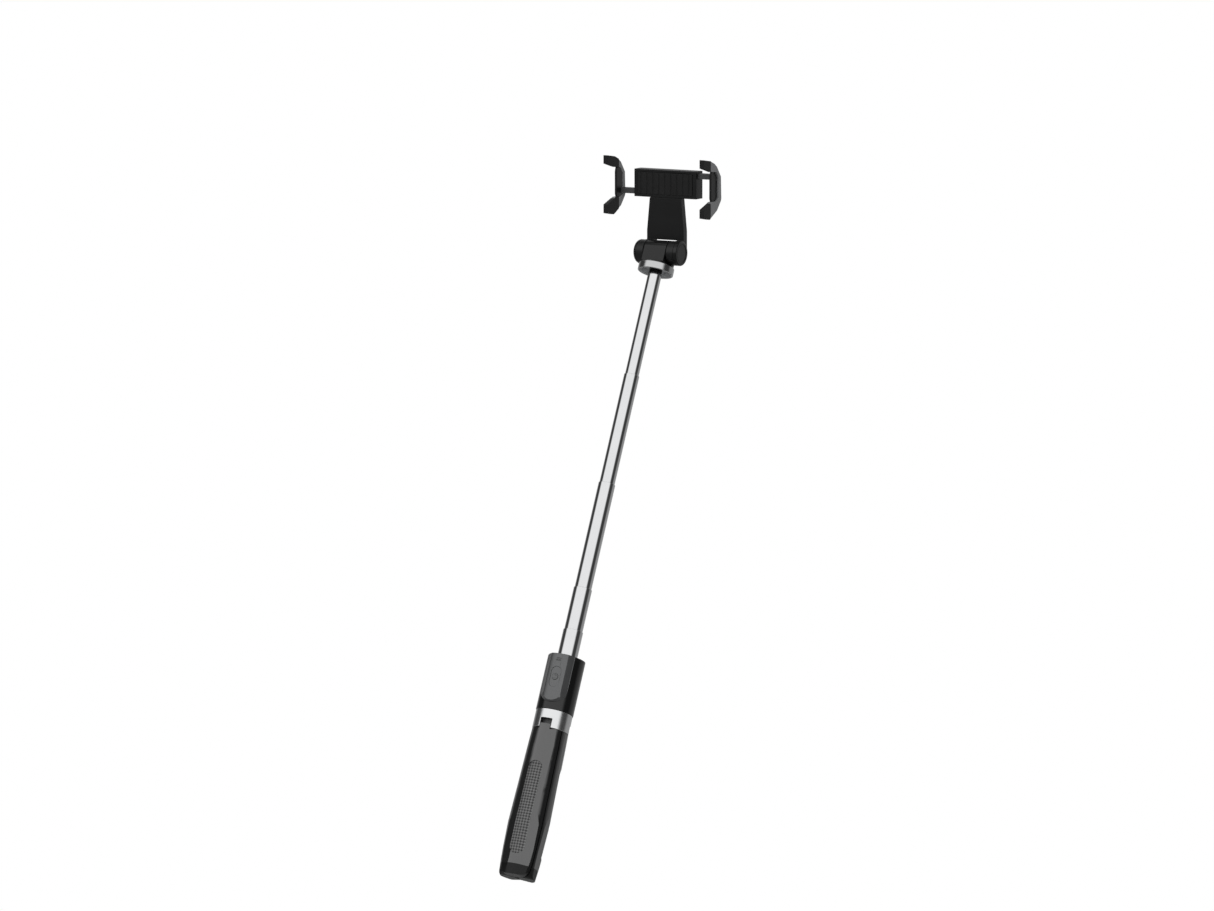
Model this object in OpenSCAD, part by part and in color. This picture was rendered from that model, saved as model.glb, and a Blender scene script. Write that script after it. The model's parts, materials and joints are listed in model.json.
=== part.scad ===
// Telescopic selfie stick whose grip opens into three legs, with a
// pull-off remote and a sprung phone clamp.
// +Z runs up the stick and -Y is the side that the clamp faces.
// The origin is in the middle of the grip, on the stick's axis.

/* [Handle] */
// Height of the grip's middle above the feet
grip_h = 55; // [45:1:65]
// Height of the closed legs up to their shoulder
shoulder_h = 100.2; // [99:0.1:103]
// Height of the metal leg collar
collar_h = 12.5; // [12:0.1:14]
// Height of the housing that stands on the collar
housing_h = 37.5; // [36.5:0.1:40]
// Outside radius of the leg collar
collar_r = 12.3; // [12.2:0.05:12.5]
// Outside radius of the housing
housing_r = 12.6; // [12.5:0.05:12.7]
// Turn of the handle's front away from the clamp's front
face_turn = 9; // [0:1:45]

/* [Legs] */
// Radius over the closed legs at their widest
leg_r = 13.9; // [13.7:0.1:14.5]
// Gap between two closed legs
leg_gap = 0.7; // [0.6:0.1:1.2]
// Height of the rubber foot
foot_h = 7; // [7:0.5:9]
// Half width of the grip insert
insert_half_w = 5.2; // [4.5:0.1:5.6]
// Lowest point of the grip insert
insert_low_h = 13.5; // [12:0.5:18]
// Highest point of the grip insert
insert_top_h = 77; // [70:1:84]
// Depth of the insert's face below the leg's face
insert_sink = 0.5; // [0.3:0.1:0.8]
// Largest opening angle of a leg
leg_open = 28; // [15:1:28]

/* [Tubes] */
// Outside radius of the fixed core tube
core_r = 7.15; // [7.15:0.05:7.15]
// Radius that each tube loses against the one round it
tube_step_r = 0.5; // [0.5:0.05:0.5]
// Wall of every tube
tube_wall = 0.42; // [0.41:0.01:0.46]
// Length of the first sliding tube
first_tube_l = 100; // [96:1:100]
// Heights of the sliding tubes' tops above the feet as drawn out
tube_tops = [169.5, 198.9, 272.4, 349.1, 421.2];

/* [Head] */
// Height of the tilt axis above the feet
hinge_h = 436.9; // [436.9:0.1:436.9]
// Radius of the swivel cup
cup_r = 12.1; // [11.5:0.1:12.2]
// Radius of the tilt hinge's knuckles
knuckle_r = 8.25; // [8:0.05:8.3]
// Half length of the tilt hinge
hinge_half_l = 17; // [16:0.5:19]
// Forward tilt of the clamp at rest
tilt = 25.6; // [0:0.1:45]

/* [Clamp] */
// Gap between the jaws at rest
jaw_gap = 70.9; // [58:0.1:84]
// Half width of the clamp's body
body_half_w = 24; // [24:0.5:25]
// Lowest point of the clamp's body above the tilt axis
body_low = 36.3; // [36.3:0.1:36.3]
// Height of the clamp's body
body_h = 18.7; // [18.7:0.1:18.7]
// Distance of the phone's back behind the tilt axis
rest_back = 6.7; // [6.5:0.1:6.8]
// Module of the rack teeth
tooth_m = 1; // [1:1:1]

/* [Hidden] */

$fn = 96;
eps = 0.01;

// handle heights, all above the feet
collar_top = shoulder_h + collar_h;
housing_top = collar_top + housing_h;
cap_t = 1.6;
shell_wall = 1.6;
core_bottom = 44.2;
plug_top = 49.2;

// leg pivot
pivot_r = 10.2;
pivot_h = shoulder_h + 1.1;
tongue_half_w = 3.6;
notch_half_w = 4;
notch_h = 6.1;
hub_r = 8.8;
pin_r = 0.58;
leg_bore_r = 7.6;
// flats beside the insert: their middle and their half width, as angles
flat_mid_a = 33;
flat_half_a = 9;
// outline of the closed legs: height above the feet and radius
leg_outline = [[0, leg_r - 1.7], [10, leg_r - 0.9], [18, leg_r - 0.5],
    [35, leg_r], [64, leg_r - 0.8], [89, leg_r - 1.4],
    [shoulder_h - 0.1, leg_r - 1.8]];

// sliding tubes
function tube_r(i) = core_r - i * tube_step_r;
tip_step = 0.6;
bush_collar = 1.2;
bush_spigot = 2;
bush_gap = 0.3;
length_loss = bush_collar + bush_spigot + bush_gap - tip_step;
function tube_l(i) = i < 5 ? first_tube_l - (i - 1) * length_loss : 83.7;

// swivel cup, heights below the tilt axis
cup_rim = -14.6;
cup_ceiling = -9.9;
cup_top = -8.7;
boss_top = -4.6;
boss_r = 5;
flange_t = 1.2;
screw_floor = -6.4;

// remote, in the handle's own turned frame
plate_in_r = 12.75;
plate_out_r = 14.1;
button_h = housing_top - 16;
plate_round_h = housing_top - 27;
neck_half_w = 6;

// clamp, y = distance behind the tilt axis
cover_y = rest_back + 1;
tray_y = cover_y + 1.5;
tray_back = 15.8;
tray_floor = 14.4;
body_mid = body_low + body_h / 2;
pitch_r = 10 * tooth_m / 2;
tooth_pitch = PI * tooth_m;
tooth_w = tooth_pitch / 2 - 0.35;
rack_y0 = tray_y + 0.15;
rack_y1 = tray_floor - 0.15;
rack_tip = pitch_r - 0.8 * tooth_m;
rack_root = pitch_r + 1.1 * tooth_m;
rack_back = 7.85;
jaw_in = jaw_gap / 2;
jaw_out = jaw_in + 3.15;
grip_t = 0.3;
tip_split = 0.9;

// ---------------------------------------------------------------- frames

module on_stick() { translate([0, 0, -grip_h]) children(); }
module on_handle() { on_stick() rotate([0, 0, face_turn]) children(); }
module on_leg(a) { on_handle() rotate([0, 0, a - 90]) children(); }
module on_hinge() { on_stick() translate([0, 0, hinge_h]) children(); }
module on_clamp() { on_hinge() rotate([tilt, 0, 0]) children(); }

// ---------------------------------------------------------------- shapes

module ring(r, bore, low, top) {
    translate([0, 0, low]) difference() {
        cylinder(r = r, h = top - low);
        translate([0, 0, -1]) cylinder(r = bore, h = top - low + 2);
    }
}

module disc(r, low, top) { translate([0, 0, low]) cylinder(r = r, h = top - low); }

module block(low, high) { translate(low) cube(high - low); }

// cylinder along X
module x_rod(r, x0, x1) { translate([x0, 0, 0]) rotate([0, 90, 0]) cylinder(r = r, h = x1 - x0); }

// cylinder along Y
module y_rod(r, y0, y1) { translate([0, y0, 0]) rotate([-90, 0, 0]) cylinder(r = r, h = y1 - y0); }

// upright slot with round ends, from height low to high
module slot(half_w, low, high) {
    translate([-half_w, low + half_w]) square([2 * half_w, high - low - 2 * half_w]);
    translate([0, low + half_w]) circle(r = half_w);
    translate([0, high - half_w]) circle(r = half_w);
}

// a front-view outline (x, z) pushed through from y0 to y1
module through_y(y0, y1) {
    translate([0, y1, 0]) rotate([90, 0, 0]) linear_extrude(height = y1 - y0) children();
}

// a side-view outline (distance behind, height) pushed along X
module through_x(x0, x1) {
    translate([x0, 0, 0]) rotate([90, 0, 90]) linear_extrude(height = x1 - x0) children();
}

// ---------------------------------------------------------------- handle

module core_tube() {
    color("silver") on_handle() ring(core_r, core_r - tube_wall, core_bottom, housing_top);
}

module core_plug() {
    color("dimgray") on_handle() {
        disc(core_r - tube_wall - 0.02, core_bottom, plug_top);
        disc(core_r, core_bottom - 1.2, core_bottom);
    }
}

module leg_hub() {
    color("black") on_handle() ring(hub_r - 0.02, core_r + 0.05, shoulder_h, collar_top);
}

module leg_collar() {
    color("silver") on_handle() difference() {
        ring(collar_r, hub_r, shoulder_h, collar_top);
        for (a = [0, 120, 240]) rotate([0, 0, a - 90]) {
            block([hub_r - 2, -notch_half_w, shoulder_h - 1],
                [collar_r + 1, notch_half_w, shoulder_h + notch_h]);
            translate([pivot_r, 0, pivot_h]) y_rod(pin_r + 0.02, -5.5, 5.5);
        }
    }
}

module leg_pins() {
    color("silver") on_handle() for (a = [0, 120, 240]) rotate([0, 0, a - 90])
        translate([pivot_r, 0, pivot_h]) y_rod(pin_r, -5.4, 5.4);
}

module housing_shell() {
    color("black") on_handle() {
        ring(housing_r, core_r + 0.05, collar_top, collar_top + 1.5);
        difference() {
            ring(housing_r, housing_r - shell_wall, collar_top + 1.5, housing_top - cap_t);
            block([-neck_half_w - 0.2, -20, plate_round_h - 3.4],
                [neck_half_w + 0.2, 0, housing_top]);
        }
    }
}

module housing_cap() {
    color("black") on_handle() difference() {
        union() {
            ring(housing_r, core_r + 0.05, housing_top - cap_t, housing_top);
            ring(housing_r - shell_wall - 0.02, housing_r - shell_wall - 1, housing_top - cap_t - 2,
                housing_top - cap_t);
        }
        block([-7.5, -20, housing_top - 10], [7.5, -core_r - 0.25, housing_top + 1]);
    }
}

// ---------------------------------------------------------------- remote

module remote_back() {
    low = plate_round_h - 3;
    color("black") on_handle() difference() {
        union() {
            intersection() {
                block([-7.2, -20, low], [7.2, -7.6, housing_top]);
                disc(housing_r - shell_wall - 0.2, low - 1, housing_top);
            }
            intersection() {
                block([-neck_half_w, -20, low], [neck_half_w, -7.6, housing_top]);
                disc(plate_in_r - 0.02, low - 1, housing_top);
            }
        }
        block([-5.3, -20, low + 1], [5.3, -8.2, housing_top - 1.2]);
    }
}

module remote_faceplate() {
    wide = 9.04;
    narrow = 4.9;
    y_wide = -9;
    y_narrow = -14.2;
    color("gray") on_handle() difference() {
        intersection() {
            union() {
                translate([0, 0, plate_round_h]) linear_extrude(height = housing_top - plate_round_h)
                    polygon([[-wide, y_wide], [-narrow, y_narrow], [narrow, y_narrow], [wide, y_wide]]);
                translate([0, y_wide, plate_round_h]) rotate([90, 0, 0])
                    cylinder(r1 = wide, r2 = narrow, h = y_wide - y_narrow);
            }
            ring(plate_out_r, plate_in_r, collar_top, housing_top);
        }
        difference() {
            through_y(-20, -8) slot(3.5, button_h - 7, button_h + 7);
            disc(plate_out_r - 0.4, collar_top, housing_top);
        }
        translate([0, 0, button_h]) y_rod(2.1, -20, -8);
        block([-1.6, -20, housing_top - 3.7], [1.6, -8, housing_top - 3.1]);
        difference() {
            block([-1.6, -20, housing_top - 5.1], [1.6, -8, housing_top - 4.5]);
            disc(plate_out_r - 0.3, collar_top, housing_top);
        }
    }
}

module remote_board() {
    color("darkgreen") on_handle()
        block([-5.2, -11.35, plate_round_h - 1.8], [5.2, -10.55, housing_top - 1.5]);
}

module remote_cell() {
    color("silver") on_handle() translate([0, 0, plate_round_h + 3.5]) y_rod(5, -10.45, -8.25);
}

module remote_light() {
    color("white") on_handle()
        block([-1.55, -14, housing_top - 3.65], [1.55, -11.36, housing_top - 3.15]);
}

module shutter_button() {
    color("gray") on_handle() translate([0, 0, button_h]) difference() {
        union() {
            y_rod(2, -13.95, -12);
            y_rod(2.6, -12.35, -11.9);
        }
        translate([0, -18, 0]) sphere(r = 4.35);
    }
}

// ---------------------------------------------------------------- legs

module leg_round(sink) {
    rotate([0, 0, 180]) rotate_extrude() polygon(concat([[0, 0]], [for (p = leg_outline) [p[1] - sink, p[0]]],
        [[0, leg_outline[len(leg_outline) - 1][0]]]));
}

// the third of the round that one leg fills, pointing along +X
module leg_third(low, high) {
    tip = leg_gap / 2 / sin(60);
    translate([0, 0, low]) linear_extrude(height = high - low)
        polygon([[tip, 0], [tip + 20, 20 * tan(60)], [40, 20 * tan(60)],
            [40, -20 * tan(60)], [tip + 20, -20 * tan(60)]]);
}

// what is cut away to leave a flat beside the grip insert, on either side
module leg_flats() {
    near = cos(flat_half_a);
    low_r = leg_outline[0][1] * near - 0.03;
    top_r = leg_outline[len(leg_outline) - 1][1] * near;
    for (side = [-1, 1]) rotate([0, 0, side * flat_mid_a]) through_y(-8, 8)
        polygon([[low_r, -1], [leg_r * near - 0.05, 42], [top_r, shoulder_h + 2],
            [leg_r + 4, shoulder_h + 2], [leg_r + 4, -1]]);
}

module leg_tongue() {
    intersection() {
        union() {
            block([pivot_r, -tongue_half_w, shoulder_h - 2], [20, tongue_half_w, pivot_h + 1.4]);
            block([hub_r + 0.2, -tongue_half_w, shoulder_h - 2], [20, tongue_half_w, pivot_h]);
            translate([pivot_r, 0, pivot_h]) y_rod(1.2, -tongue_half_w, tongue_half_w);
        }
        rotate([0, 0, 180]) disc(leg_outline[len(leg_outline) - 1][1] - 0.02, 0, housing_top);
    }
}

module insert_outline(low, high) {
    rotate([90, 0, 90]) linear_extrude(height = 20) slot(insert_half_w, low, high);
}

module leg_body(a) {
    color("black") on_leg(a) difference() {
        union() {
            intersection() {
                leg_round(0);
                leg_third(foot_h, shoulder_h);
            }
            leg_tongue();
        }
        leg_flats();
        rotate([0, 0, 180]) {
            disc(leg_bore_r, core_bottom - 1.7, shoulder_h + 1);
            disc(1.5, foot_h - 1, core_bottom);
        }
        difference() {
            insert_outline(insert_low_h, insert_top_h);
            leg_round(insert_sink + 1.2);
        }
        // shoulder relief, so that the leg can swing out under the collar
        for (side = [-1, 1]) translate([pivot_r, 0, pivot_h]) rotate([0, leg_open, 0])
            block([-5, side > 0 ? tongue_half_w : -14, -1.2], [8, side > 0 ? 14 : -tongue_half_w, 4]);
        translate([pivot_r, 0, pivot_h]) y_rod(pin_r + 0.05, -6, 6);
    }
}

module leg_insert(a) {
    color("dimgray") on_leg(a) intersection() {
        difference() {
            leg_round(insert_sink);
            leg_round(insert_sink + 1.2);
        }
        insert_outline(insert_low_h, insert_top_h);
    }
}

module leg_foot(a) {
    corner = 6.5;
    half_w = 10.8;
    color("black") on_leg(a) difference() {
        intersection() {
            leg_round(0);
            leg_third(0, foot_h);
            rotate([90, 0, 90]) linear_extrude(height = 20) {
                translate([-half_w, corner]) square([2 * half_w, foot_h]);
                translate([-half_w + corner, 0]) square([2 * (half_w - corner), foot_h]);
                for (side = [-1, 1]) translate([side * (half_w - corner), corner]) circle(r = corner);
            }
        }
        leg_flats();
        rotate([0, 0, 180]) disc(1.5, -1, foot_h + 1);
    }
}

// ---------------------------------------------------------------- tubes

module slide_tube(i) {
    top = tube_tops[i - 1];
    color("silver") on_stick() ring(tube_r(i), tube_r(i) - tube_wall, top - tube_l(i), top);
}

module slide_bush(i) {
    low = tube_tops[i - 1] - tube_l(i);
    color("dimgray") on_stick() {
        disc(tube_r(i) - tube_wall - 0.02, low, low + bush_spigot);
        disc(tube_r(i - 1) - tube_wall - 0.04, low - bush_collar, low);
    }
}

module top_ferrule() {
    top = hinge_h + cup_ceiling - 0.1;
    color("black") on_stick() difference() {
        union() {
            disc(tube_r(5) - tube_wall - 0.02, tube_tops[4] - 7, tube_tops[4]);
            disc(4.35, tube_tops[4], top - flange_t);
            disc(5.2, top - flange_t, top);
        }
        disc(1.52, top - 9, top + 1);
    }
}

// ---------------------------------------------------------------- head

module swivel_screw() {
    color("silver") on_hinge() {
        disc(1.5, cup_ceiling - 8, screw_floor + 0.4);
        disc(2.9, screw_floor + 0.5, boss_top - 0.15);
        disc(1.5, screw_floor + 0.4, screw_floor + 0.5);
    }
}

module swivel_washer() {
    color("silver") on_hinge() ring(3.1, 1.52, screw_floor + 0.05, screw_floor + 0.45);
}

module swivel_cup() {
    color("silver") on_hinge() difference() {
        union() {
            disc(cup_r, cup_rim, cup_ceiling);
            translate([0, 0, cup_ceiling])
                cylinder(r1 = cup_r, r2 = cup_r - 1.2, h = cup_top - cup_ceiling);
            disc(boss_r, cup_top, boss_top);
        }
        disc(cup_r - 1, cup_rim - 1, cup_ceiling);
        disc(1.6, cup_ceiling - 1, boss_top + 1);
        disc(3.4, screw_floor, boss_top + 1);
    }
}

module hinge_block() {
    color("black") on_hinge() difference() {
        intersection() {
            union() {
                x_rod(knuckle_r, -8.5, 8.5);
                block([-8.5, -8, cup_top], [8.5, 8, 0]);
            }
            block([-9, -8, cup_top], [9, 8, 9]);
        }
        disc(boss_r + 0.02, cup_top - 1, boss_top);
        x_rod(2.06, -9, 9);
    }
}

module hinge_pin() {
    color("silver") on_clamp() x_rod(2, -14.2, 14.2);
}

module hinge_washers() {
    color("silver") on_clamp() for (side = [0, 180]) rotate([0, 0, side]) difference() {
        x_rod(6.5, 8.55, 8.93);
        x_rod(2.02, 8, 10);
    }
}

module hinge_cap_left() {
    round_r = 2.8;
    color("black") on_clamp() translate([-hinge_half_l + round_r, 0, 0]) rotate([0, -90, 0])
        rotate_extrude() {
            square([knuckle_r - round_r, round_r]);
            intersection() {
                translate([knuckle_r - round_r, 0]) circle(r = round_r);
                square([knuckle_r, round_r]);
            }
        }
}

module hinge_cap_right() {
    color("black") on_clamp() difference() {
        union() {
            x_rod(knuckle_r, 14.2, hinge_half_l - 0.5);
            translate([hinge_half_l - 0.5, 0, 0]) rotate([0, 90, 0])
                cylinder(r1 = knuckle_r, r2 = knuckle_r - 0.5, h = 0.5);
        }
        x_rod(6.2, hinge_half_l - 0.3, hinge_half_l + 1);
    }
}

// ---------------------------------------------------------------- clamp

module clamp_fork() {
    for (side = [-1, 1]) difference() {
        union() {
            x_rod(knuckle_r, side > 0 ? 8.95 : -14.2, side > 0 ? 14.2 : -8.95);
            through_x(side > 0 ? 8.95 : -14.2, side > 0 ? 14.2 : -8.95)
                polygon([[0, 0], [2.6, 7.8], [7.2, 7.8], [7.2, 14], [12.2, 14], [12.2, 2], [7.9, -2.3]]);
        }
        x_rod(2.02, -15, 15);
    }
}

module clamp_base() {
    arm_back = 12.2;
    color("black") on_clamp() {
        clamp_fork();
        difference() {
            through_y(7.2, arm_back)
                polygon([[-14.2, 7.9], [-14.2, 14], [-12, body_low + 1], [12, body_low + 1],
                    [14.2, 14], [14.2, 7.9]]);
            block([-15, 0, body_low - 0.1], [15, tray_y, body_low + 2]);
        }
        difference() {
            block([-body_half_w, tray_y, body_low], [body_half_w, tray_back, body_low + body_h]);
            block([-body_half_w + 1.2, tray_y - 1, body_mid - rack_back - 0.1],
                [body_half_w - 1.2, tray_floor, body_mid + rack_back + 0.1]);
            for (side = [-1, 1]) {
                x0 = side > 0 ? 0 : -body_half_w - 1;
                z0 = side > 0 ? body_mid + rack_tip - 0.1 : body_mid - rack_back - 0.1;
                block([x0, tray_y - 1, z0],
                    [x0 + body_half_w + 1, rack_y1 + 0.1, z0 + rack_back - rack_tip + 0.2]);
                translate([side * 20.5, 0, body_mid]) {
                    y_rod(0.95, tray_y, tray_back + 1);
                    y_rod(1.9, tray_back - 0.9, tray_back + 1);
                }
            }
        }
        translate([0, 0, body_mid]) y_rod(1.5, tray_y, tray_floor);
        for (side = [-1, 1]) translate([side * 20.5, 0, body_mid]) difference() {
            y_rod(2.1, tray_y, tray_floor);
            y_rod(0.95, tray_y - 1, tray_floor + 1);
        }
    }
}

module clamp_cover() {
    color("black") on_clamp() difference() {
        block([-body_half_w, rest_back + 0.4, body_low], [body_half_w, tray_y, body_low + body_h]);
        block([-21, 0, body_low + 2], [21, cover_y, body_low + body_h - 2]);
        for (side = [-1, 1]) translate([side * 20.5, 0, body_mid]) y_rod(0.9, tray_y - 1, tray_y + 1);
    }
}

module clamp_pad() {
    color("dimgray") on_clamp() difference() {
        block([-21, rest_back, body_low + 2], [21, cover_y, body_low + body_h - 2]);
        for (k = [-4:4]) translate([k * 4.6, 0, 0])
            block([-0.5, 0, body_low], [0.5, rest_back + 0.4, body_low + body_h]);
    }
}

module clamp_screws() {
    color("silver") on_clamp() for (side = [-1, 1]) translate([side * 20.5, 0, body_mid]) {
        y_rod(0.88, tray_y - 0.9, tray_back - 0.8);
        difference() {
            y_rod(1.8, tray_back - 0.9, tray_back - 0.1);
            block([-0.3, tray_back - 0.5, -3], [0.3, tray_back + 1, 3]);
        }
    }
}

module sync_pinion() {
    color("white") on_clamp() translate([0, 0, body_mid]) difference() {
        union() {
            y_rod(rack_tip - 0.3, tray_y + 0.3, 12.4);
            through_y(tray_y + 0.3, 12.4) for (k = [0:9]) rotate(k * 36)
                polygon([[-0.95, 3], [-0.95, 3.9], [-0.3, 5.8], [0.3, 5.8], [0.95, 3.9], [0.95, 3]]);
        }
        y_rod(1.56, tray_y - 1, 14);
    }
}

module pinion_spring() {
    turns = 3;
    steps = 24;
    strip = 0.18;
    function coil_r(k) = 2 + 1.3 * k / (turns * steps);
    function coil_point(k, out) = [(coil_r(k) + out) * cos(360 * k / steps),
        (coil_r(k) + out) * sin(360 * k / steps)];
    color("silver") on_clamp() translate([0, 0, body_mid]) through_y(12.7, 14)
        polygon(concat([for (k = [0:turns * steps]) coil_point(k, 0)],
            [for (k = [turns * steps:-1:0]) coil_point(k, strip)]));
}

// ---------------------------------------------------------------- jaws

// side view of a jaw: distance behind the tilt axis, height above it
module jaw_outline() {
    polygon([[-9, 64.7], [0.9, 63.3], [6.5, 61.1], [9.8, 58.9], [15.2, 51.9],
        [15.8, 36.8], [15.2, 35.4], [9.8, 29.2], [-0.2, 24], [-9, 25.4]]);
}

module jaw_opening() {
    polygon([[-20, 61.2], [-9, 58.9], [3, 55.7], [9, 55.2], [11.8, 51.3], [11.8, 37.5],
        [9, 35.6], [3, 35.6], [-9, 31.4], [-20, 28]]);
}

module jaw_frame() {
    color("dimgray") through_x(jaw_in + grip_t, jaw_out) difference() {
        jaw_outline();
        jaw_opening();
        translate([-30, 0]) square([30 + tip_split, 100]);
    }
}

module jaw_grips() {
    color("black") {
        through_x(jaw_in, jaw_out + 0.15) difference() {
            intersection() {
                jaw_outline();
                translate([-30, 0]) square([30 + tip_split, 100]);
            }
            jaw_opening();
        }
        through_x(jaw_in, jaw_in + grip_t) difference() {
            intersection() {
                jaw_outline();
                translate([tip_split - eps, 0]) square([5.6, 100]);
            }
            jaw_opening();
        }
    }
}

module jaw_panel() {
    color("black") through_x(jaw_in + grip_t, jaw_in + 1.9) intersection() {
        jaw_opening();
        polygon([[3.8, 37.5], [3.8, 53], [6, 59], [12, 59], [12, 29], [6, 32]]);
    }
}

module jaw_rack(up) {
    teeth = 8;
    rack_mid = 12.4;
    color("lightgray") translate([0, 0, body_mid]) mirror([0, 0, up > 0 ? 0 : 1]) {
        block([-rack_mid, rack_y0, rack_root], [rack_mid + 1, rack_y1, rack_back]);
        block([rack_mid + 0.6, rack_y0, rack_tip], [jaw_in + grip_t, rack_y1, rack_back]);
        through_y(rack_y0, rack_y1) for (k = [0:teeth - 1])
            translate([(k - (teeth - 1) / 2) * tooth_pitch, 0])
                polygon([[-tooth_w / 2 - 0.4, rack_root + 0.2], [-tooth_w / 2 - 0.4, rack_root],
                    [-tooth_w / 2 + 0.29, rack_tip], [tooth_w / 2 - 0.29, rack_tip],
                    [tooth_w / 2 + 0.4, rack_root], [tooth_w / 2 + 0.4, rack_root + 0.2]]);
    }
}

module right_side() { on_clamp() children(); }
module left_side() { on_clamp() mirror([1, 0, 0]) children(); }

// ---------------------------------------------------------------- nodes

core_tube();
core_plug();
leg_hub();
leg_collar();
leg_pins();
housing_shell();
housing_cap();
remote_back();
remote_faceplate();
remote_board();
remote_cell();
remote_light();
shutter_button();
leg_body(0);  // leg_front
leg_insert(0);  // leg_front_insert
leg_foot(0);  // leg_front_foot
leg_body(120);  // leg_right
leg_insert(120);  // leg_right_insert
leg_foot(120);  // leg_right_foot
leg_body(240);  // leg_left
leg_insert(240);  // leg_left_insert
leg_foot(240);  // leg_left_foot
for (i = [1:5]) {
    slide_tube(i);
    slide_bush(i);
}
top_ferrule();
swivel_screw();
swivel_washer();
swivel_cup();
hinge_block();
hinge_pin();
hinge_washers();
hinge_cap_left();
hinge_cap_right();
clamp_base();
clamp_cover();
clamp_pad();
clamp_screws();
sync_pinion();
pinion_spring();
right_side() jaw_frame();  // jaw_right
right_side() jaw_grips();  // jaw_right_grips
right_side() jaw_panel();  // jaw_right_panel
right_side() jaw_rack(1);  // jaw_right_rack
left_side() jaw_frame();  // jaw_left
left_side() jaw_grips();  // jaw_left_grips
left_side() jaw_panel();  // jaw_left_panel
left_side() jaw_rack(-1);  // jaw_left_rack
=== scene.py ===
# %% [markdown]
# A selfie stick whose grip opens into a small tripod. The CAD model fixes where every part is
# and how it moves. This script dresses it: it rounds the moulded edges, weaves the grip
# inserts and gives each part the finish of the real one. The frame is loaded first.

# %% Load the frame
import json
import math

import bmesh
import bpy
from mathutils import Matrix, Vector

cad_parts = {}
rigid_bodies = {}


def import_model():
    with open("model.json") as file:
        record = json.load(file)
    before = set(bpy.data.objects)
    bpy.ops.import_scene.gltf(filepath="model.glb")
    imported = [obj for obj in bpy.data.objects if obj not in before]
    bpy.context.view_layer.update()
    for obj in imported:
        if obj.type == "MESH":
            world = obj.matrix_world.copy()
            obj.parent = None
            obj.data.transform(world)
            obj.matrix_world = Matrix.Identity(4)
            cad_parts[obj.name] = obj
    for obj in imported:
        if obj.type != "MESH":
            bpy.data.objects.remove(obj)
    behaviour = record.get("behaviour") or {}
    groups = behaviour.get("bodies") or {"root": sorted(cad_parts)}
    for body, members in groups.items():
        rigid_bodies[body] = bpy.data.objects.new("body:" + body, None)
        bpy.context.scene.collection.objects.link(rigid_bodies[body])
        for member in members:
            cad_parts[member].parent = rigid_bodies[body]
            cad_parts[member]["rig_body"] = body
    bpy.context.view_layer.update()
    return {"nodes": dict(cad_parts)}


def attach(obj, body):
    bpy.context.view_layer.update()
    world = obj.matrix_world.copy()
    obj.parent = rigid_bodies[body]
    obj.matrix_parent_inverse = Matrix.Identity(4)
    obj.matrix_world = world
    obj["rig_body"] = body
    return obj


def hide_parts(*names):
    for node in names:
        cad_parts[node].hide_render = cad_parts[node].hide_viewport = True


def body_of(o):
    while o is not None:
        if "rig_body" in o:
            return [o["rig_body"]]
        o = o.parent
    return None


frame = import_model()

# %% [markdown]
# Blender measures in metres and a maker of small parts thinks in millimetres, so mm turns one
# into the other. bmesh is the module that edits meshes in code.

mm = 0.001
print("parts in the frame:", len(frame["nodes"]))

# %% [markdown]
# Shader maths reads best as ordinary sums. Blender builds a shader from nodes, so each plus or
# times is a Math node. A small class round an output socket lets Python's own operators add
# those nodes. The reflected forms are there too, so that 1 - mask works.

# %% A socket that can be added and multiplied
class Value:
    """One output of a node: a sum on it adds a Math node behind it."""

    def __init__(self, bench, socket):
        self.bench = bench
        self.socket = socket

    def math(self, operation, *terms):
        return self.bench.node("ShaderNodeMath", {"operation": operation}, dict(enumerate(terms)))

    def __add__(self, other):
        return self.math("ADD", self, other)

    def __sub__(self, other):
        return self.math("SUBTRACT", self, other)

    def __rsub__(self, other):
        return self.math("SUBTRACT", other, self)

    def __mul__(self, other):
        return self.math("MULTIPLY", self, other)

    def __truediv__(self, other):
        return self.math("DIVIDE", self, other)

    def __rtruediv__(self, other):
        return self.math("DIVIDE", other, self)

    def __gt__(self, other):
        return self.math("GREATER_THAN", self, other)

    __radd__ = __add__
    __rmul__ = __mul__


# %% [markdown]
# Every other node comes from one method. It takes the node's type, its settings, which are set
# first because they decide which sockets exist, and the values or links of its sockets. The
# same bench serves the materials and the studio's light.

# %% A bench that makes nodes
class Bench:
    """Makes nodes in one node tree."""

    def __init__(self, tree):
        self.tree = tree
        tree.nodes.clear()

    def node(self, kind, settings, sockets, output=0):
        made = self.tree.nodes.new(kind)
        for name, setting in settings.items():
            if name == "stops":
                self.set_stops(made.color_ramp, setting)
            else:
                setattr(made, name, setting)
        for name, value in sockets.items():
            if isinstance(value, Value):
                self.tree.links.new(value.socket, made.inputs[name])
            else:
                made.inputs[name].default_value = value
        return Value(self, made.outputs[output]) if len(made.outputs) else made

    def set_stops(self, ramp, stops):
        while len(ramp.elements) < len(stops):
            ramp.elements.new(0.5)
        for element, (at, level) in zip(ramp.elements, stops):
            element.position = at
            element.color = (level, level, level, 1)

    def ramp(self, value, stops):
        return self.node("ShaderNodeValToRGB", {"stops": stops}, {"Fac": value})

    def mix(self, mask, first, second):
        settings = {"data_type": "RGBA"}
        return self.node("ShaderNodeMix", settings, {0: mask, 6: first, 7: second}, 2)


# %% [markdown]
# A finish is a material with one Principled shader. Real surfaces are never even: dust, the
# mould's texture and handling change the colour, the gloss and the tiny relief from place to
# place. So each finish starts from noise in the part's own millimetres, which moves with the
# part, and drives the colour, the roughness and a bump from it.

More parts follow.
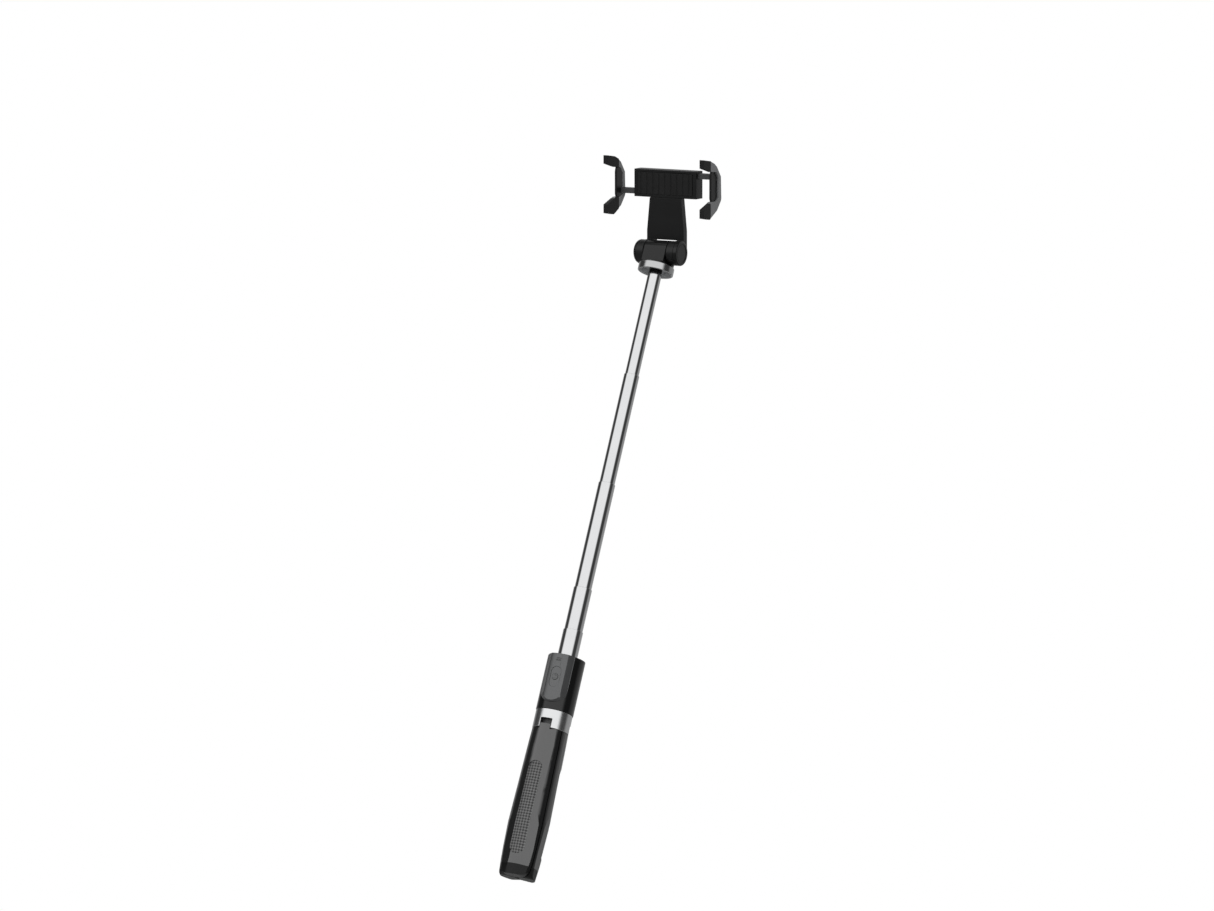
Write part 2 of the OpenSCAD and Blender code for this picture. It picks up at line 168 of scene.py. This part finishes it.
# %% A finish
class Finish(Bench):
    """A material that is put together node by node."""

    def __init__(self, name, **fixed):
        self.material = bpy.data.materials.new(name)
        self.material.use_nodes = True
        super().__init__(self.material.node_tree)
        self.shader = self.tree.nodes.new("ShaderNodeBsdfPrincipled")
        out = self.tree.nodes.new("ShaderNodeOutputMaterial")
        self.tree.links.new(self.shader.outputs["BSDF"], out.inputs["Surface"])
        for socket, value in fixed.items():
            self.shader.inputs[socket.replace("_", " ")].default_value = value

    def give(self, socket, value):
        self.tree.links.new(value.socket, self.shader.inputs[socket])

    def place(self, per_mm):
        """Object coordinates, scaled to so many waves per millimetre along each axis."""
        at = self.node("ShaderNodeTexCoord", {}, {}, "Object")
        scale = [1000 * n for n in per_mm]
        return self.node("ShaderNodeMapping", {"vector_type": "POINT"}, {"Vector": at, "Scale": scale})

    def noise(self, per_mm, detail=2.0, rough=0.5):
        if not isinstance(per_mm, tuple):
            per_mm = (per_mm, per_mm, per_mm)
        sockets = {"Vector": self.place(per_mm), "Scale": 1.0, "Detail": detail, "Roughness": rough}
        return self.node("ShaderNodeTexNoise", {}, sockets, "Fac")

    def specks(self, per_mm):
        """Distance to the nearest of many scattered points."""
        sockets = {"Vector": self.place((per_mm, per_mm, per_mm)), "Scale": 1.0}
        return self.node("ShaderNodeTexVoronoi", {}, sockets, "Distance")

    def relief(self, height, depth_mm, strength=1.0):
        sockets = {"Height": height, "Distance": depth_mm * mm, "Strength": strength}
        self.give("Normal", self.node("ShaderNodeBump", {}, sockets, "Normal"))

    def tones(self, mask, dark, light):
        self.give("Base Color", self.mix(mask, (*dark, 1), (*light, 1)))


def grey(level, tint=0.0):
    """A grey that leans to blue by tint."""
    return (level * (1 - tint), level, level * (1 + tint))


# %% [markdown]
# The sliding tubes are drawn steel with bright chrome. Drawing leaves very fine lines along
# the tube, so the noise is stretched along Z and squeezed round the tube. It changes the gloss
# a little and gives a relief of a few thousandths of a millimetre.

# %% Metals
def metal(name, colour, gloss, lines, depth, handled=0.06):
    """A metal with fine lines that run the way its noise is stretched."""
    finish = Finish(name, Metallic=1.0)
    stroke = finish.noise(lines, 3.0)
    smear = finish.noise(0.12, 4.0)
    finish.tones(smear, grey(colour * 0.93, 0.012), grey(colour, 0.006))
    finish.give("Roughness", gloss + stroke * 0.04 + smear * handled)
    finish.relief(stroke, depth)
    return finish.material


chrome = metal("tube_chrome", 0.40, 0.02, (6, 6, 0.05), 0.0008, 0.03)
collar_metal = metal("collar_satin", 0.42, 0.17, (0.05, 0.05, 9), 0.002)
cup_metal = metal("cup_satin", 0.30, 0.14, (0.05, 0.05, 9), 0.002)
steel = metal("turned_steel", 0.6, 0.2, (5, 5, 5), 0.003)
spring_steel = metal("spring_steel", 0.5, 0.25, (5, 5, 1), 0.003)
print("metals:", len(bpy.data.materials))

# %% [markdown]
# The legs, the housing and the head are moulded plastic. A gloss moulding still has an orange
# peel: a shallow wave a millimetre or two long. Handling adds hairline scratches that dull the
# gloss, and a satin moulding has a fine eroded grain instead of the peel.

# %% Moulded plastics
def moulded(name, dark, light, gloss, peel, grain, **fixed):
    """Plastic from a mould: peel and grain are their depths in millimetres."""
    finish = Finish(name, **fixed)
    wave = finish.noise(0.35, 2.0)
    pits = finish.noise(9.0, 2.0)
    cloud = finish.noise(0.09, 5.0)
    scratch = finish.noise((2.4, 2.4, 0.09), 6.0, 0.7)
    hairline = finish.ramp(scratch, [(0.60, 0.0), (0.66, 1.0), (0.70, 0.0)])
    finish.tones(cloud * 0.7 + pits * 0.3, grey(dark, 0.02), grey(light, 0.02))
    finish.give("Roughness", gloss + cloud * 0.06 + pits * 0.03 + hairline * 0.08)
    height = wave * peel + pits * grain - hairline * (grain * 0.5 + 0.0004)
    finish.relief(height, 1.0)
    return finish.material


leg_gloss = moulded("leg_gloss", 0.004, 0.007, 0.06, 0.0003, 0.0001, IOR=1.7)
housing_black = moulded("housing_gloss", 0.004, 0.007, 0.10, 0.0003, 0.0001, IOR=1.35)
head_black = moulded("head_satin", 0.003, 0.006, 0.18, 0.0003, 0.0006, IOR=1.3)
clamp_black = moulded("clamp_satin", 0.004, 0.008, 0.30, 0.0005, 0.002, IOR=1.3)
jaw_satin = moulded("jaw_satin", 0.120, 0.150, 0.34, 0.0005, 0.002, IOR=1.5)
cup_inside_grey = moulded("cup_inside", 0.52, 0.58, 0.5, 0.0, 0.002)
rack_nylon = moulded("rack_nylon", 0.030, 0.045, 0.45, 0.0, 0.005)
bush_nylon = moulded("bush_nylon", 0.020, 0.032, 0.50, 0.0, 0.006)
washer_nylon = moulded("washer_nylon", 0.62, 0.70, 0.42, 0.0, 0.004)
print("metals and plastics:", len(bpy.data.materials))

# %% [markdown]
# The remote's plate is a dark grey metallic paint under a smooth lacquer. Its flakes are tiny
# and lie at slightly different angles: a fine cell pattern gives a little roughness and relief,
# and in the colour it is a painted glint of the tilted flakes.

# %% Painted plate
def flake_paint():
    finish = Finish("plate_paint", Metallic=0.5, Coat_Weight=0.1, Coat_Roughness=0.2)
    flakes_and_glints = finish.specks(7.0)
    cloud = finish.noise(0.1, 4.0)
    # painted glint: the flake cells vary the colour as tilted flakes would vary the light they catch
    finish.tones(flakes_and_glints * 0.8 + cloud * 0.4, grey(0.055, 0.02), grey(0.085, 0.02))
    finish.give("Roughness", 0.24 + flakes_and_glints * 0.08 + cloud * 0.06)
    finish.relief(flakes_and_glints, 0.0006)
    return finish.material


plate_paint = flake_paint()

# %% [markdown]
# The feet, the jaw faces and the pad behind the phone are soft rubber: nearly black, matt, with
# a pebbled skin and a pale bloom of dust in the low places.

# %% Rubber
def rubber(name, dark, light, gloss, depth):
    finish = Finish(name, IOR=1.25)
    pebbles = finish.specks(2.6)
    cloud = finish.noise(0.15, 5.0)
    bloom = finish.noise(0.5, 6.0, 0.65)
    dust = (bloom > 0.56) * (1 - pebbles) * 0.35
    finish.tones(dust + cloud * 0.3, grey(dark), grey(light))
    finish.give("Roughness", gloss + cloud * 0.15)
    finish.relief(pebbles + cloud * 0.5, depth)
    return finish.material


foot_rubber = rubber("foot_rubber", 0.005, 0.012, 0.26, 0.003)
grip_rubber = rubber("grip_rubber", 0.008, 0.020, 0.5, 0.015)

# %% [markdown]
# The grip inserts are a woven strip under a thin lacquer. The weave itself is geometry, made
# further down. The strands of one diagonal catch the light and those of the other turn it away,
# and this is painted: the weave's own dark finish, and a much lighter copy as a painted
# highlight on the strands of one diagonal, each with the fine streaks of its fibres.

# %% Woven strip
def woven(name, dark, light, gloss):
    finish = Finish(name, Coat_Weight=0.1, Coat_Roughness=0.25)
    fibres = finish.noise((5.0, 5.0, 1.2), 4.0)
    cloud = finish.noise(0.15, 4.0)
    finish.tones(fibres * 0.7 + cloud * 0.3, grey(dark), grey(light))
    finish.give("Roughness", gloss + fibres * 0.14 + cloud * 0.06)
    finish.relief(fibres, 0.004)
    return finish.material


weave_dark = woven("grip_weave_dark", 0.004, 0.010, 0.42)
# painted highlight: a much lighter copy of the weave finish for the strands that catch the light
weave_painted_highlight = woven("grip_weave_painted_highlight", 0.080, 0.150, 0.24)

# %% [markdown]
# Inside the remote are a circuit board, a coin cell and a light guide. The board is green
# lacquer over copper tracks, which show as a slightly lighter grid of straight bands.

# %% Inside the remote
def circuit_board():
    finish = Finish("board_lacquer", Coat_Weight=0.5, Coat_Roughness=0.15)
    sockets = {"Vector": finish.place((0.5, 0.5, 0.5)), "Scale": 1.0, "Distortion": 0.0}
    tracks = finish.node("ShaderNodeTexWave", {"bands_direction": "Z"}, sockets, "Fac")
    cloud = finish.noise(0.3, 3.0)
    on_track = tracks > 0.62
    finish.tones(on_track * 0.7 + cloud * 0.3, (0.008, 0.085, 0.03), (0.03, 0.20, 0.07))
    finish.give("Roughness", 0.3 + cloud * 0.15)
    finish.relief(on_track * 0.03 + cloud * 0.002, 1.0)
    return finish.material


def light_guide():
    finish = Finish("light_guide")
    cloud = finish.noise(0.8, 3.0)
    finish.tones(cloud, grey(0.06), grey(0.10, 0.02))
    finish.give("Roughness", 0.3 + cloud * 0.2)
    finish.relief(cloud, 0.01)
    return finish.material


board_lacquer = circuit_board()
guide_clear = light_guide()
print("finishes:", len(bpy.data.materials))

# %% [markdown]
# A CAD part has edges of radius zero, which no mould or cutter can make and which never catch
# the light. One way is to model each fillet in CAD, but they would add nothing to how the part
# moves. Here a copy of the part is cleaned up, its sharp edges get a small bevel of two or
# three steps, and the normals are weighted by area, so that the flats stay flat in the light.

# %% Rounding the edges
def finished_mesh(piece):
    """Bakes a piece's modifiers into its mesh."""
    seen = bpy.context.evaluated_depsgraph_get()
    seen.update()
    result = bpy.data.meshes.new_from_object(piece.evaluated_get(seen))
    piece.modifiers.clear()
    piece.data = result


def smooth(piece, sharp_over=50):
    piece.data.shade_smooth()
    piece.data.set_sharp_from_angle(angle=math.radians(sharp_over))
    weigh = piece.modifiers.new("weigh", "WEIGHTED_NORMAL")
    weigh.keep_sharp = True
    finished_mesh(piece)


def add_piece(name, shape):
    mesh = bpy.data.meshes.new(name)
    shape.to_mesh(mesh)
    shape.free()
    piece = bpy.data.objects.new(name, mesh)
    bpy.context.scene.collection.objects.link(piece)
    return piece


def stand_for(piece, node, finish):
    """The piece takes the CAD part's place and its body."""
    piece.data.materials.clear()
    piece.data.materials.append(finish)
    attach(piece, body_of(frame["nodes"][node])[0])
    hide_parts(node)


sharp_angle = 32


def rounded(node, radius, finish, steps=3):
    """A copy of a CAD part with its sharp edges rounded, radius in millimetres."""
    shape = bmesh.new()
    shape.from_mesh(frame["nodes"][node].data)
    bmesh.ops.remove_doubles(shape, verts=shape.verts, dist=0.002 * mm)
    bmesh.ops.dissolve_limit(shape, angle_limit=math.radians(0.4), verts=shape.verts, edges=shape.edges)
    piece = add_piece(node + "_finished", shape)
    bevel = piece.modifiers.new("bevel", "BEVEL")
    bevel.width = radius * mm
    bevel.segments = steps
    bevel.limit_method = "ANGLE"
    bevel.angle_limit = math.radians(sharp_angle)
    bevel.use_clamp_overlap = False
    bevel.miter_outer = "MITER_ARC"
    finished_mesh(piece)
    smooth(piece)
    stand_for(piece, node, finish)
    return piece


def paint_where(piece, finish, wanted):
    """Gives a second finish to the faces that pass a test."""
    piece.data.materials.append(finish)
    for face in piece.data.polygons:
        if wanted(face):
            face.material_index = 1


def dress(finish, *nodes):
    """Gives CAD parts that stay as they are their finish."""
    for node in nodes:
        part = frame["nodes"][node].data
        part.materials.clear()
        part.materials.append(finish)


# %% [markdown]
# The handle is what stays fixed: the core tube, the metal collar that carries the leg pivots,
# and the gloss housing round the remote. The outer parts get rounded edges. The plug, hub and
# pins are seen only between the opened legs, so a finish is enough for them.

# %% Handle
rounded("core_tube", 0.1, chrome)
rounded("leg_collar", 0.3, collar_metal)
rounded("housing_shell", 0.2, housing_black)
rounded("housing_cap", 0.25, housing_black)
dress(bush_nylon, "core_plug", "leg_hub")
dress(steel, "leg_pins")

# %% [markdown]
# The remote pulls off upwards. Its plate and button are painted metal-grey and have crisp
# edges, because the line round the plate is what the eye finds first on the real one.

# %% Remote
rounded("remote_faceplate", 0.15, plate_paint, 2)
rounded("remote_back", 0.2, housing_black)
rounded("shutter_button", 0.12, plate_paint, 2)
dress(board_lacquer, "remote_board")
dress(steel, "remote_cell")
dress(guide_clear, "remote_light")

# %% [markdown]
# Each leg has a long inlay for the fingers. On the real one it is a band of fine flat fibres,
# woven over and under each other along the two diagonals. A bump alone would vanish in an
# exported mesh, so the weave is modelled: a fine grid follows the leg's curve and rises
# and sinks with the strands, and fades out at the border, where the band is pressed flat.

# %% The weave's height
strand_pitch = 1.9
strand_height = 0.3


def strand_level(along, across):
    """Height of the weave, 0 to 1, at a point in strand widths along the two diagonals."""
    over = (math.floor(along) + math.floor(across)) % 2 == 0
    run, side = (along % 1, across % 1) if over else (across % 1, along % 1)
    crown = math.sqrt(max(0.0, 1 - (2 * side - 1) ** 2))
    return crown * (0.35 + 0.65 * math.sin(math.pi * run))


def leg_radius(height):
    """Radius of the closed legs at a height above the feet, in millimetres."""
    outline = [(0, 12.2), (10, 13.0), (18, 13.4), (35, 13.9), (64, 13.1), (89, 12.5), (100.1, 12.1)]
    for (low, near), (high, far) in zip(outline, outline[1:]):
        if low <= height <= high:
            return near + (far - near) * (height - low) / (high - low)
    raise ValueError("above the leg")


print("leg radius at the grip's middle:", leg_radius(55))

# %% [markdown]
# The inlay's outline is a slot with round ends, so each row across it is as wide as the slot
# is there. The weave fades out near the border, and the first and last point of every row get
# a second point behind them, from which the flat back and the side walls are made.

# %% Woven inlay
inlay_half_width = 5.2
inlay_low = 13.5
inlay_high = 77.0
inlay_sink = 0.5
inlay_thick = 0.9
sole = -55.0
face_turn = 9
rows = 400
columns = 56


def inlay_row(shape, facing, height):
    """One row of points across the inlay: those of its face, and the two behind its ends."""
    tip = max(0.0, inlay_half_width - min(height - inlay_low, inlay_high - height))
    reach = math.sqrt(inlay_half_width ** 2 - tip ** 2)
    front, back = [], []
    for column in range(columns + 1):
        over = reach * (2 * column / columns - 1)
        edge = min(reach - abs(over), height - inlay_low, inlay_high - height)
        fade = min(1.0, max(0.0, (edge - 0.15) / 0.5))
        weave = strand_level((over + height) / strand_pitch, (over - height) / strand_pitch)
        lift = strand_height * (weave * fade - 1) * (0.3 + 0.7 * fade)
        out = math.sqrt((leg_radius(height) - inlay_sink + lift) ** 2 - over ** 2)
        front.append(shape.verts.new(facing @ Vector((out, over, height + sole)) * mm))
        if column in (0, columns):
            back.append(shape.verts.new(facing @ Vector((out - inlay_thick, over, height + sole)) * mm))
    return front, back


def join_rows(shape, lower_row, upper_row):
    (lower, under), (upper, above) = lower_row, upper_row
    for n in range(columns):
        shape.faces.new((lower[n], lower[n + 1], upper[n + 1], upper[n]))
    shape.faces.new((lower[0], upper[0], above[0], under[0]))
    shape.faces.new((upper[-1], lower[-1], under[1], above[1]))
    shape.faces.new((under[0], above[0], above[1], under[1]))


def woven_inlay(side, turn):
    facing = Matrix.Rotation(math.radians(turn - 90 + face_turn), 3, "Z")
    shape = bmesh.new()
    length = inlay_high - inlay_low
    heights = [inlay_low + length * (row + 0.02) / (rows + 0.04) for row in range(rows + 1)]
    grid = [inlay_row(shape, facing, height) for height in heights]
    for lower_row, upper_row in zip(grid, grid[1:]):
        join_rows(shape, lower_row, upper_row)
    (first, first_back), (last, last_back) = grid[0], grid[-1]
    shape.faces.new([*first[::-1], *first_back])
    shape.faces.new([*last, *last_back[::-1]])
    bmesh.ops.recalc_face_normals(shape, faces=shape.faces)
    piece = add_piece("leg_" + side + "_weave", shape)
    piece.data.shade_smooth()
    piece.data.set_sharp_from_angle(angle=math.radians(60))
    stand_for(piece, "leg_" + side + "_insert", weave_dark)
    turned_back = facing.transposed()

    def on_light_strand(face):
        across, height = (turned_back @ face.center).yz / mm
        along = math.floor((across + height - sole) / strand_pitch)
        return (along + math.floor((across - height + sole) / strand_pitch)) % 2 == 0

    # painted highlight: the faces on the strands of one diagonal take the lighter copy of the finish
    paint_where(piece, weave_painted_highlight, on_light_strand)
    print(piece.name, "faces:", len(piece.data.polygons))


# %% [markdown]
# A leg is a third of a round bar with two long flats and a long, even highlight. A bevel along
# such a slender part disturbs the normals of the faces beside it, and the highlight goes
# ragged, so the legs and their rubber feet keep the CAD mesh, whose normals come from the true
# surfaces. Only their finish is given here, and the inlay is the piece that is modelled.

# %% Legs
for side, turn in (("front", 0), ("right", 120), ("left", 240)):
    dress(leg_gloss, "leg_" + side)
    dress(foot_rubber, "leg_" + side + "_foot")
    woven_inlay(side, turn)

# %% [markdown]
# Five chromed tubes slide in each other. The mouth of each is broken by a small edge, which
# draws a thin line at every step. The nylon bushes inside stay as the CAD has them.

# %% Tubes
for number in range(1, 6):
    rounded("tube_" + str(number), 0.14, chrome)
    dress(bush_nylon, "tube_" + str(number) + "_bush")
print("tubes dressed:", number)

# %% [markdown]
# The head turns on a satin metal cup, hollow underneath and light grey inside, with a hinge
# of black moulded knuckles above it. The cup is one CAD part with two finishes, so the faces
# inside it are picked out by where they are and which way they look.

# %% Head
rounded("top_ferrule", 0.2, head_black)
cup_inside_r = 11.3 * mm
cup = rounded("swivel_cup", 0.3, cup_metal)
paint_where(cup, cup_inside_grey, lambda face: face.center.xy.length < cup_inside_r and face.normal.z < 0.5)
rounded("hinge_block", 0.4, head_black)
rounded("hinge_cap_right", 0.35, head_black)
dress(head_black, "hinge_cap_left")
dress(washer_nylon, "hinge_washers")
dress(steel, "swivel_screw", "swivel_washer", "hinge_pin")
print("cup faces painted:", sum(face.material_index for face in cup.data.polygons))

# %% [markdown]
# The clamp's tray holds two racks and a sprung pinion, which draw both jaws in together. Its
# outside is a plain satin moulding with a ribbed rubber pad for the phone's back.

# %% Clamp
rounded("clamp_base", 0.3, clamp_black)
rounded("clamp_cover", 0.35, clamp_black)
rounded("clamp_pad", 0.2, grip_rubber)
rounded("clamp_screws", 0.08, steel, 2)
dress(washer_nylon, "sync_pinion")
dress(spring_steel, "pinion_spring")

# %% [markdown]
# Each jaw is an open bracket with rubber faces and a recessed panel. The bracket is a lighter
# satin than the rest of the head, so its rim stands out against the phone's dark edge.

# %% Jaws
for side in ("right", "left"):
    rounded("jaw_" + side, 0.35, jaw_satin)
    rounded("jaw_" + side + "_grips", 0.25, grip_rubber)
    rounded("jaw_" + side + "_panel", 0.25, clamp_black)
    rounded("jaw_" + side + "_rack", 0.12, rack_nylon, 2)

# %% [markdown]
# The camera looks up at the stick from a little below its foot. It stands almost four metres
# away with a long lens, so the stick keeps nearly the same scale from its foot to its head. It
# leans to one side, and a turn built from its right and up directions says that most plainly.

# %% Camera
def camera_turn(right, up):
    """The turn that puts the picture's right and up along these directions."""
    right = Vector(right).normalized()
    back = right.cross(Vector(up)).normalized()
    return Matrix((right, back.cross(right), back)).transposed().to_quaternion()


lens = bpy.data.cameras.new("lens")
lens.lens = 177.95
lens.sensor_width = 36
lens.clip_end = 50
camera = bpy.data.objects.new("camera", lens)
camera.location = (1.9898, -3.3333, -0.7348)
camera.rotation_mode = "QUATERNION"
camera.rotation_quaternion = camera_turn((0.864, 0.4539, 0.2165), (-0.070, -0.3176, 0.9456))
bpy.context.scene.collection.objects.link(camera)
bpy.context.scene.camera = camera
print("camera stands off by", round(camera.location.length, 2), "m")

# %% [markdown]
# The studio is a pale floor in a dim room with three tall soft boxes: a broad key in front, a
# weaker rim light to the right and behind, and a fill behind on the left. Polished tubes show
# the room, so the dark gaps between the boxes are what gives them their dark edges. Each box
# is a centre, a width and a brightness, and its edges fade over the same angle.

# %% Studio
camera_side = math.radians(-59)
room_level = 0.1
box_fade = 15
top = 2.2
soft_boxes = [(-160, 30, 0.5), (-20, 110, 2.0), (130, 60, 0.6)]


def box_stops():
    """The ramp round the horizon: angles from the camera's side, in degrees."""
    stops = []
    for centre, width, level in soft_boxes:
        left, right = centre - width / 2, centre + width / 2
        corners = [(left - box_fade, room_level), (left, level)]
        corners += [(right, level), (right + box_fade, room_level)]
        stops += [((max(angle, -180) + 180) / 360, height / top) for angle, height in corners]
    return stops


def studio_light():
    world = bpy.data.worlds.new("studio")
    world.use_nodes = True
    bpy.context.scene.world = world
    bench = Bench(world.node_tree)
    way = bench.node("ShaderNodeTexCoord", {}, {}, "Generated")
    parts = [bench.node("ShaderNodeSeparateXYZ", {}, {"Vector": way}, axis) for axis in "XYZ"]
    east, north, height = parts
    turn = (east.math("ARCTAN2", north, east) - camera_side) / (2 * math.pi) + 1.5
    turn = turn.math("FRACT", turn)
    stops = box_stops()
    ring = bench.ramp(turn, stops) * top
    lean = height.math("ABSOLUTE", height)
    away = bench.ramp(lean, [(0.42, 0.0), (0.7, 1.0)])
    level = ring * (1 - away) + away * 0.7
    seen = bench.node("ShaderNodeLightPath", {}, {}, "Is Camera Ray")
    strength = level * (1 - seen) + seen
    back = bench.node("ShaderNodeBackground", {}, {"Color": (1, 1, 1, 1), "Strength": strength})
    bench.node("ShaderNodeOutputWorld", {}, {"Surface": back})


studio_light()
bpy.context.scene.view_settings.view_transform = "Standard"
print("soft boxes:", len(soft_boxes))


def pale_floor(side, height):
    shape = bmesh.new()
    bmesh.ops.create_grid(shape, x_segments=8, y_segments=8, size=side / 2)
    bmesh.ops.translate(shape, verts=shape.verts, vec=(0, 0, height))
    floor = add_piece("floor", shape)
    finish = Finish("floor_paper")
    cloud = finish.noise(0.002, 3.0)
    finish.tones(cloud, grey(0.5), grey(0.52))
    finish.give("Roughness", 0.8 + cloud * 0.1)
    floor.data.materials.append(finish.material)


floor_side = 12
floor_height = -0.9
pale_floor(floor_side, floor_height)
